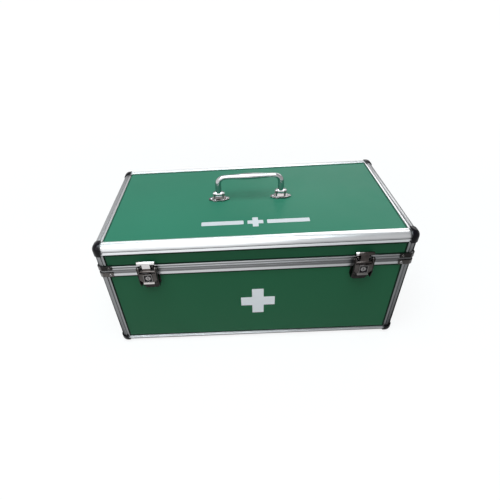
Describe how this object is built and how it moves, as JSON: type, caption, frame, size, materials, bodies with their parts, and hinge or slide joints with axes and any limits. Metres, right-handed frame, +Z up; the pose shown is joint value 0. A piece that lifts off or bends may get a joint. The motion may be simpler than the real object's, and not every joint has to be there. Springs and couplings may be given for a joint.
{
  "type": "first aid box",
  "caption": "Rectangular first aid case of green laminated board in aluminium edge profiles, with a hinged lid, draw latches, corner caps and a folding top handle.",
  "frame": {"origin": "on the surface the box stands on, midway between the reach of the latches and of the hinges", "axes": "+Z up, +X along the length to the right as seen from the front, the latches face -Y"},
  "size_m": [0.433, 0.2356, 0.2364],
  "materials": {
    "green_board": "green laminate on board, satin",
    "aluminium": "satin anodised",
    "black_plastic": "glossy black moulding",
    "chrome_steel": "polished plating",
    "lining": "short dark felt"
  },
  "bodies": {
    "base": {"bottom_board": "green_board", "base_front_board": "green_board", "base_rear_board": "green_board", "base_left_board": "green_board", "base_right_board": "green_board", "base_front_left_corner_profile": "aluminium", "base_front_right_corner_profile": "aluminium", "base_rear_left_corner_profile": "aluminium", "base_rear_right_corner_profile": "aluminium", "bottom_front_edge_profile": "aluminium", "bottom_rear_edge_profile": "aluminium", "bottom_left_edge_profile": "aluminium", "bottom_right_edge_profile": "aluminium", "bottom_front_left_corner_cap": "black_plastic", "bottom_front_right_corner_cap": "black_plastic", "bottom_rear_left_corner_cap": "black_plastic", "bottom_rear_right_corner_cap": "black_plastic", "base_rim": "aluminium", "base_lining": "lining", "left_hinge_base_leaf": "chrome_steel", "left_hinge_pin": "chrome_steel", "left_latch_plate": "chrome_steel", "right_hinge_base_leaf": "chrome_steel", "right_hinge_pin": "chrome_steel", "right_latch_plate": "chrome_steel"},
    "lid": {"top_board": "green_board", "lid_front_board": "green_board", "lid_rear_board": "green_board", "lid_left_board": "green_board", "lid_right_board": "green_board", "lid_front_left_corner_profile": "aluminium", "lid_front_right_corner_profile": "aluminium", "lid_rear_left_corner_profile": "aluminium", "lid_rear_right_corner_profile": "aluminium", "top_front_edge_profile": "aluminium", "top_rear_edge_profile": "aluminium", "top_left_edge_profile": "aluminium", "top_right_edge_profile": "aluminium", "top_front_left_corner_cap": "black_plastic", "top_front_right_corner_cap": "black_plastic", "top_rear_left_corner_cap": "black_plastic", "top_rear_right_corner_cap": "black_plastic", "lid_rim": "aluminium", "lid_lining": "lining", "left_hinge_lid_leaf": "chrome_steel", "left_latch_keeper": "chrome_steel", "left_handle_bracket": "chrome_steel", "left_handle_pin": "chrome_steel", "right_hinge_lid_leaf": "chrome_steel", "right_latch_keeper": "chrome_steel", "right_handle_bracket": "chrome_steel", "right_handle_pin": "chrome_steel"},
    "handle": {"handle": "chrome_steel"},
    "left_lever": {"left_latch_lever": "chrome_steel"},
    "left_hook": {"left_latch_hook": "chrome_steel"},
    "left_plug": {"left_key_plug": "chrome_steel"},
    "right_lever": {"right_latch_lever": "chrome_steel"},
    "right_hook": {"right_latch_hook": "chrome_steel"},
    "right_plug": {"right_key_plug": "chrome_steel"}
  },
  "joints": [
    {"name": "lid_hinge", "type": "hinge", "parent": "base", "child": "lid", "pos_m": [0, 0.1152, 0.15485], "axis": [-1, 0, 0], "range_deg": [0, 100]},
    {"name": "handle_swing", "type": "hinge", "parent": "lid", "child": "handle", "pos_m": [0, 0.0022, 0.2043], "axis": [1, 0, 0], "range_deg": [-90, 90]},
    {"name": "left_lever_swing", "type": "hinge", "parent": "base", "child": "left_lever", "pos_m": [-0.1465, -0.1125, 0.1599], "axis": [-1, 0, 0], "range_deg": [0, 100]},
    {"name": "left_hook_swing", "type": "hinge", "parent": "left_lever", "child": "left_hook", "pos_m": [-0.1465, -0.1134, 0.1556], "axis": [-1, 0, 0], "range_deg": [-110, 0]},
    {"name": "left_key_turn", "type": "hinge", "parent": "left_lever", "child": "left_plug", "pos_m": [-0.1465, -0.1158, 0.1459], "axis": [0, -1, 0], "range_deg": [0, 90]},
    {"name": "right_lever_swing", "type": "hinge", "parent": "base", "child": "right_lever", "pos_m": [0.1465, -0.1125, 0.1599], "axis": [-1, 0, 0], "range_deg": [0, 100]},
    {"name": "right_hook_swing", "type": "hinge", "parent": "right_lever", "child": "right_hook", "pos_m": [0.1465, -0.1134, 0.1556], "axis": [-1, 0, 0], "range_deg": [-110, 0]},
    {"name": "right_key_turn", "type": "hinge", "parent": "right_lever", "child": "right_plug", "pos_m": [0.1465, -0.1158, 0.1459], "axis": [0, -1, 0], "range_deg": [0, 90]}
  ],
  "couplings": [
    {"joint": "left_hook_swing", "follows": "left_lever_swing", "ratio": -1.1},
    {"joint": "right_hook_swing", "follows": "right_lever_swing", "ratio": -1.1}
  ]
}
